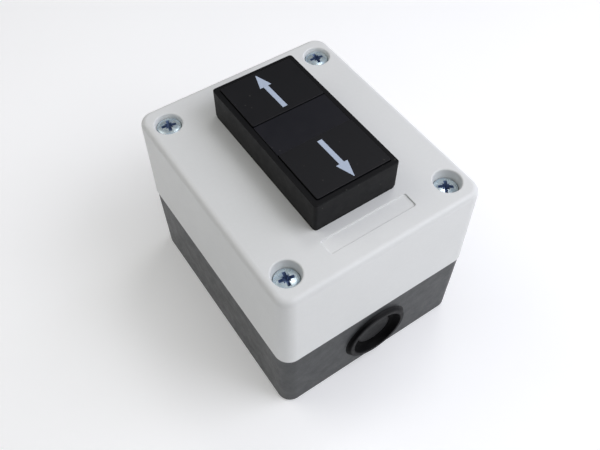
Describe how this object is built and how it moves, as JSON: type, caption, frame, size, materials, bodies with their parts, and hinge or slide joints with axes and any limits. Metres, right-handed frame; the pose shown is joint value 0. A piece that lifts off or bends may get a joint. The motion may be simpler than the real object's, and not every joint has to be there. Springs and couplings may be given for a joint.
{
  "type": "two-button control station",
  "caption": "Plastic enclosure with a raised push-button head marked with up and down arrows, corner cover screws and a blanked cable entry; each button presses in and springs back.",
  "frame": {"origin": "centre of the flat back face of the base", "axes": "+Z out of the back towards the buttons, +Y along the length towards the up arrow, +X across the width; the cable entry is on the -Y end"},
  "size_m": [0.072, 0.0865, 0.0759],
  "materials": {
    "base_plastic": "satin moulded, dark grey",
    "cover_plastic": "satin moulded, light grey",
    "seal_rubber": "matt black rubber",
    "screw_zinc": "zinc plated",
    "plug_plastic": "satin moulded, near black",
    "frame_plastic": "satin moulded, black",
    "blank_plastic": "semi-gloss black",
    "button_plastic": "satin moulded, black",
    "arrow_plastic": "pale blue-grey inlay",
    "spring_steel": "bright spring wire",
    "holder_plastic": "glass-filled, dark grey",
    "plunger_plastic": "off-white moulded",
    "contact_brass": "plain brass"
  },
  "bodies": {
    "enclosure": {"base_box": "base_plastic", "cover": "cover_plastic", "cover_gasket": "seal_rubber", "cover_screw_1": "screw_zinc", "cover_screw_2": "screw_zinc", "cover_screw_3": "screw_zinc", "cover_screw_4": "screw_zinc", "entry_bush": "seal_rubber", "entry_plug": "plug_plastic", "bezel_frame": "frame_plastic", "head_gasket": "seal_rubber", "centre_blank": "blank_plastic", "lock_nut": "holder_plastic", "up_return_spring": "spring_steel", "down_return_spring": "spring_steel", "contact_holder": "holder_plastic", "up_block_housing": "holder_plastic", "up_block_spring": "spring_steel", "up_terminal_1": "contact_brass", "up_terminal_screw_1": "screw_zinc", "up_terminal_2": "contact_brass", "up_terminal_screw_2": "screw_zinc", "down_block_housing": "holder_plastic", "down_block_spring": "spring_steel", "down_terminal_1": "contact_brass", "down_terminal_screw_1": "screw_zinc", "down_terminal_2": "contact_brass", "down_terminal_screw_2": "screw_zinc"},
    "up_button": {"up_button": "button_plastic", "up_arrow": "arrow_plastic", "up_plunger": "plunger_plastic", "up_bridge": "contact_brass"},
    "down_button": {"down_button": "button_plastic", "down_arrow": "arrow_plastic", "down_plunger": "plunger_plastic", "down_bridge": "contact_brass"}
  },
  "joints": [
    {"name": "up_press", "type": "slide", "parent": "enclosure", "child": "up_button", "axis": [0, 0, -1], "range_m": [0, 0.004], "stiffness_N_per_m": 700, "springref_m": -0.003, "deforming": ["up_return_spring", "up_block_spring"]},
    {"name": "down_press", "type": "slide", "parent": "enclosure", "child": "down_button", "axis": [0, 0, -1], "range_m": [0, 0.004], "stiffness_N_per_m": 700, "springref_m": -0.003, "deforming": ["down_return_spring", "down_block_spring"]}
  ]
}
